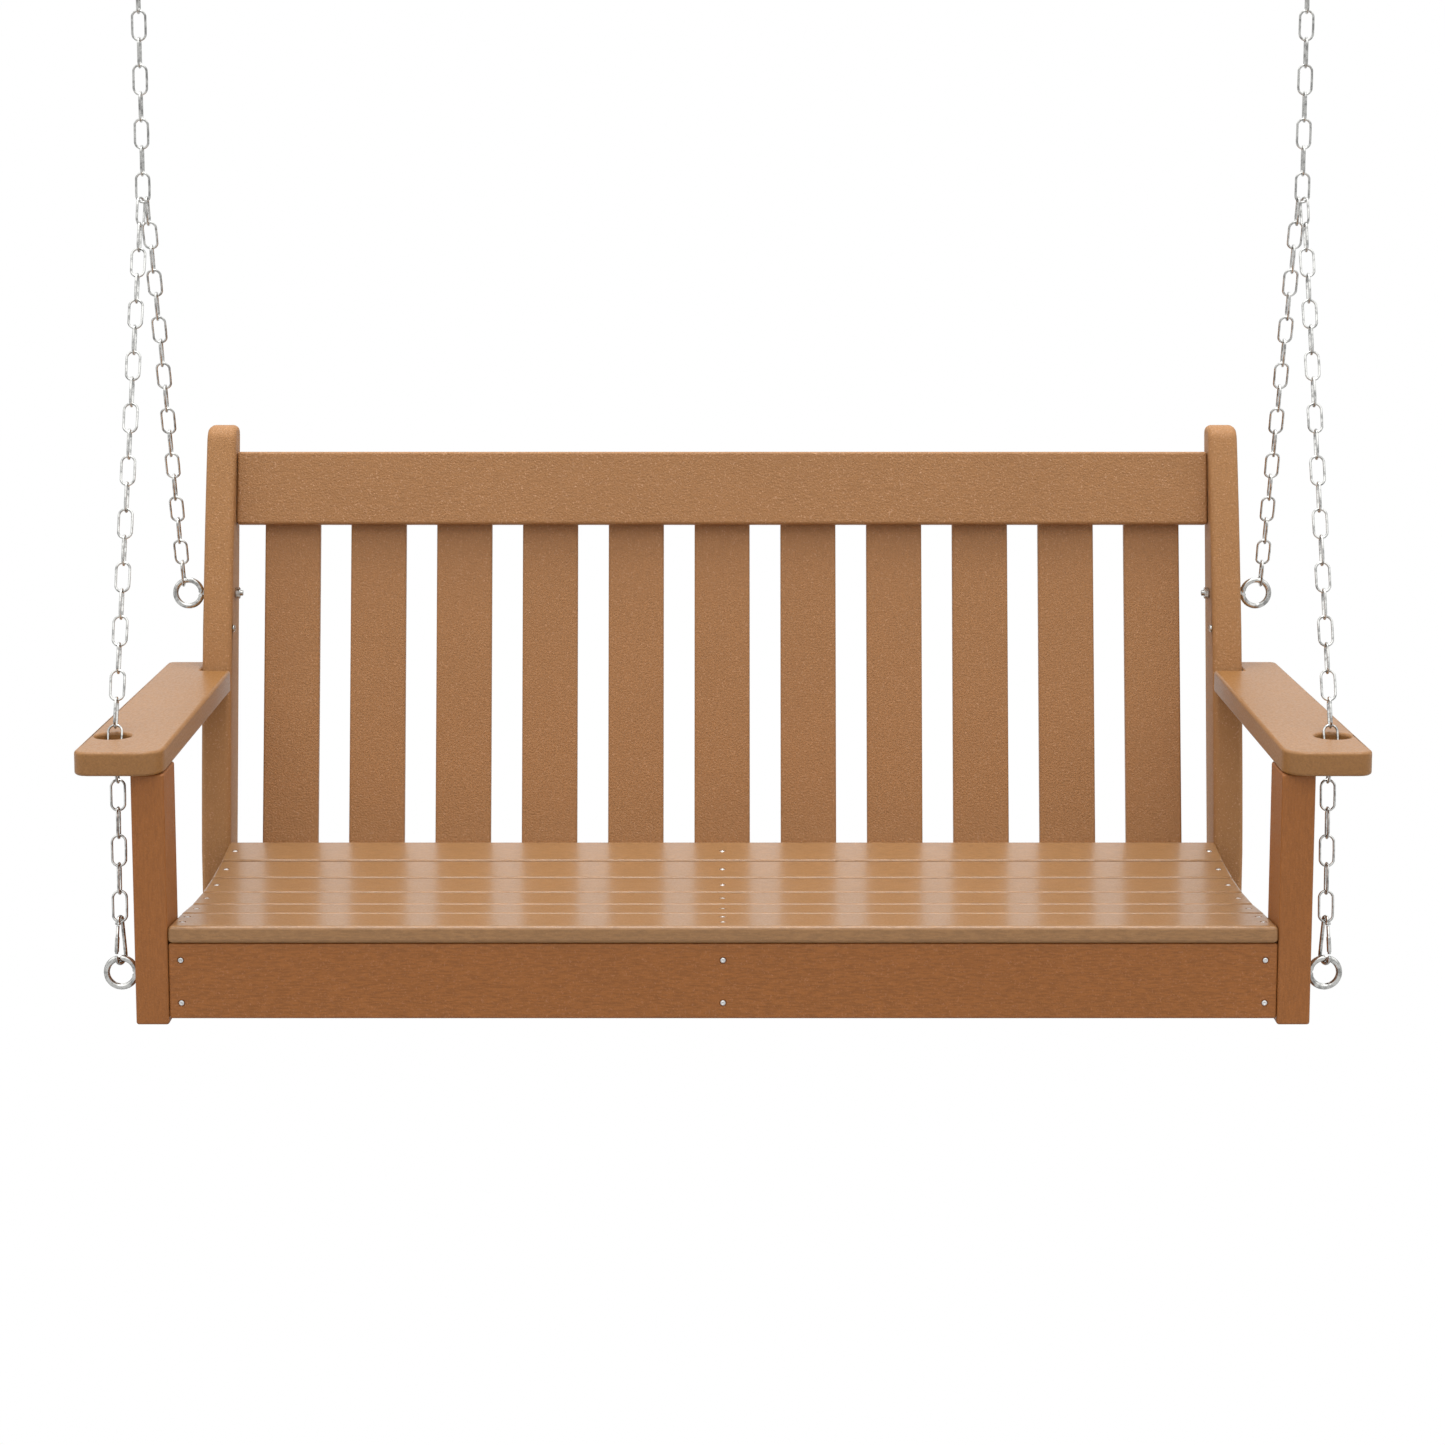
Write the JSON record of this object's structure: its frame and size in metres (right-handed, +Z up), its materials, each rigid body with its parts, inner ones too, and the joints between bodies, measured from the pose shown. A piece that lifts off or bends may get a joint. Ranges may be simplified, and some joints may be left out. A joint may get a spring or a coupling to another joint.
{
  "type": "porch swing",
  "caption": "Hanging porch swing in brown recycled-plastic lumber, slatted seat and back, wide arms, slung from steel chains on ceiling hangers.",
  "frame": {"origin": "in the ceiling plane, midway between the two hangers, which are the points it hangs from", "axes": "+Z up, +X to a sitter's left (right as seen from the front), +Y from the front of the seat to the back"},
  "size_m": [1.466, 0.6585, 1.3015],
  "materials": {
    "lumber": "satin, grained and stippled brown recycled-plastic lumber",
    "back_lumber": "satin, stippled brown recycled-plastic lumber",
    "steel": "polished stainless",
    "chain_steel": "polished stainless"
  },
  "bodies": {
    "hangers": {"hanger_plate_left": "steel", "hanger_eye_left": "steel", "hanger_screw_front_left": "steel", "hanger_screw_rear_left": "steel", "hanger_plate_right": "steel", "hanger_eye_right": "steel", "hanger_screw_front_right": "steel", "hanger_screw_rear_right": "steel"},
    "upper_chains": {"upper_chain_left": "chain_steel", "upper_chain_right": "chain_steel"},
    "bench": {"front_post_left": "lumber", "back_upright_left": "lumber", "arm_left": "lumber", "front_post_right": "lumber", "back_upright_right": "lumber", "arm_right": "lumber", "seat_slat_1": "lumber", "seat_slat_2": "lumber", "seat_slat_3": "lumber", "seat_slat_4": "lumber", "seat_slat_5": "lumber", "seat_slat_6": "lumber", "front_apron": "lumber", "top_rail": "lumber", "seat_rail": "lumber", "seat_support_left": "lumber", "seat_support_middle": "lumber", "seat_support_right": "lumber", "back_slat_1": "back_lumber", "back_slat_2": "back_lumber", "back_slat_3": "back_lumber", "back_slat_4": "back_lumber", "back_slat_5": "back_lumber", "back_slat_6": "back_lumber", "back_slat_7": "back_lumber", "back_slat_8": "back_lumber", "back_slat_9": "back_lumber", "back_slat_10": "back_lumber", "back_slat_11": "back_lumber", "front_eyebolt_left": "steel", "front_eyebolt_nut_left": "steel", "rear_eyebolt_left": "steel", "rear_eyebolt_nut_left": "steel", "upright_bolt_left": "steel", "front_eyebolt_right": "steel", "front_eyebolt_nut_right": "steel", "rear_eyebolt_right": "steel", "rear_eyebolt_nut_right": "steel", "upright_bolt_right": "steel", "front_chain_left": "chain_steel", "rear_chain_left": "chain_steel", "snap_hook_left": "steel", "front_chain_right": "chain_steel", "rear_chain_right": "chain_steel", "snap_hook_right": "steel"},
    "gate_left": {"snap_hook_gate_left": "steel"},
    "gate_right": {"snap_hook_gate_right": "steel"}
  },
  "joints": [
    {"name": "swing", "type": "hinge", "parent": "hangers", "child": "upper_chains", "pos_m": [0, 0, -0.058], "axis": [1, 0, 0], "range_deg": [-25, 25]},
    {"name": "bench_tilt", "type": "hinge", "parent": "upper_chains", "child": "bench", "pos_m": [0, 0, -0.37706], "axis": [1, 0, 0], "range_deg": [-12, 12]},
    {"name": "snap_gate_left", "type": "hinge", "parent": "bench", "child": "gate_left", "pos_m": [-0.69464, -0.30456, -1.19337], "axis": [0.9272, -0.3746, 0], "range_deg": [0, 20], "stiffness_Nm_per_rad": 0.02, "springref_deg": -11.46},
    {"name": "snap_gate_right", "type": "hinge", "parent": "bench", "child": "gate_right", "pos_m": [0.69464, -0.30456, -1.19337], "axis": [0.9272, 0.3746, 0], "range_deg": [0, 20], "stiffness_Nm_per_rad": 0.02, "springref_deg": -11.46}
  ]
}
